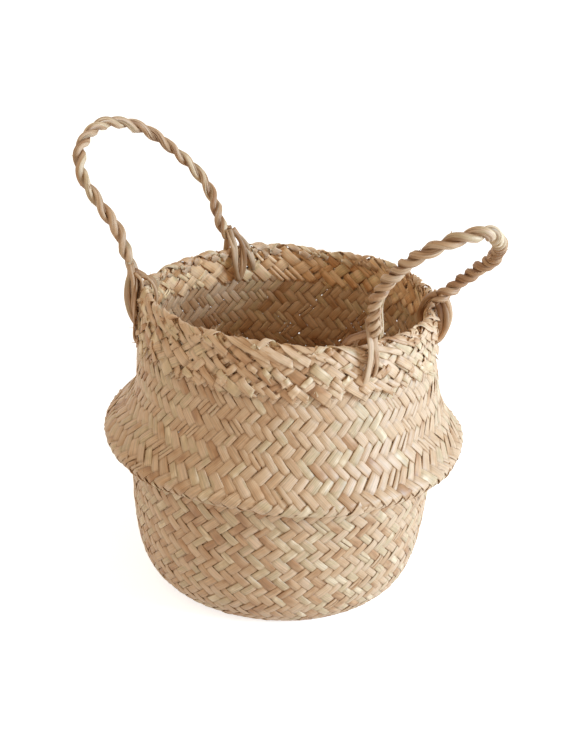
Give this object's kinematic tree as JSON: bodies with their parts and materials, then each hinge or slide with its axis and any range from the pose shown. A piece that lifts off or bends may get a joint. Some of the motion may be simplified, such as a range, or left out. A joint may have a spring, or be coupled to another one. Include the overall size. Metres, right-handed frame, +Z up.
{
  "type": "belly basket",
  "caption": "Round plaited seagrass storage basket with a folded belly, a turned-down collar and twisted rope handles.",
  "frame": {"origin": "centre of the base mat's underside, on the surface that the basket stands on", "axes": "+Z up along the basket's axis, -Y towards the front; one handle stands to the left and back, the other to the right and front"},
  "size_m": [0.2834, 0.2544, 0.3105],
  "materials": {
    "plait": "matt plaited seagrass",
    "collar": "matt seagrass strips with a slight sheen",
    "rope": "matt twisted seagrass"
  },
  "bodies": {
    "lower": {"base_mat": "plait", "footing": "plait", "lower_wall": "plait", "fold_web": "plait"},
    "upper": {"belly_lip": "plait", "belly_wall": "plait", "neck_wall": "plait", "collar_band": "collar", "rim_edge": "collar", "collar_strip_01": "collar", "collar_strip_02": "collar", "collar_strip_03": "collar", "collar_strip_04": "collar", "collar_strip_05": "collar", "collar_strip_06": "collar", "collar_strip_07": "collar", "collar_strip_08": "collar", "collar_strip_09": "collar", "collar_strip_10": "collar", "collar_strip_11": "collar", "collar_strip_12": "collar", "collar_strip_13": "collar", "collar_strip_14": "collar", "collar_strip_15": "collar", "collar_strip_16": "collar", "collar_strip_17": "collar", "collar_strip_18": "collar", "collar_strip_19": "collar", "collar_strip_20": "collar", "collar_strip_21": "collar", "collar_strip_22": "collar", "collar_strip_23": "collar", "collar_strip_24": "collar", "left_front_foot_loop": "rope", "left_back_foot_loop": "rope", "right_front_foot_loop": "rope", "right_back_foot_loop": "rope"},
    "handle_left": {"left_handle_ply_a": "rope", "left_handle_ply_b": "rope", "left_front_crossing": "rope", "left_back_crossing": "rope"},
    "handle_right": {"right_handle_ply_a": "rope", "right_handle_ply_b": "rope", "right_front_crossing": "rope", "right_back_crossing": "rope"}
  },
  "joints": [
    {"name": "belly_press", "type": "slide", "parent": "lower", "child": "upper", "axis": [0, 0, 1], "range_m": [-0.015, 0.02], "deforming": ["fold_web"]},
    {"name": "left_handle_tip", "type": "hinge", "parent": "upper", "child": "handle_left", "pos_m": [-0.07287, 0.0404, 0.2227], "axis": [-0.4848, -0.8746, 0], "range_deg": [-90, 60]},
    {"name": "right_handle_tip", "type": "hinge", "parent": "upper", "child": "handle_right", "pos_m": [0.07168, -0.05402, 0.2227], "axis": [0.6018, 0.7986, 0], "range_deg": [-90, 60]}
  ]
}
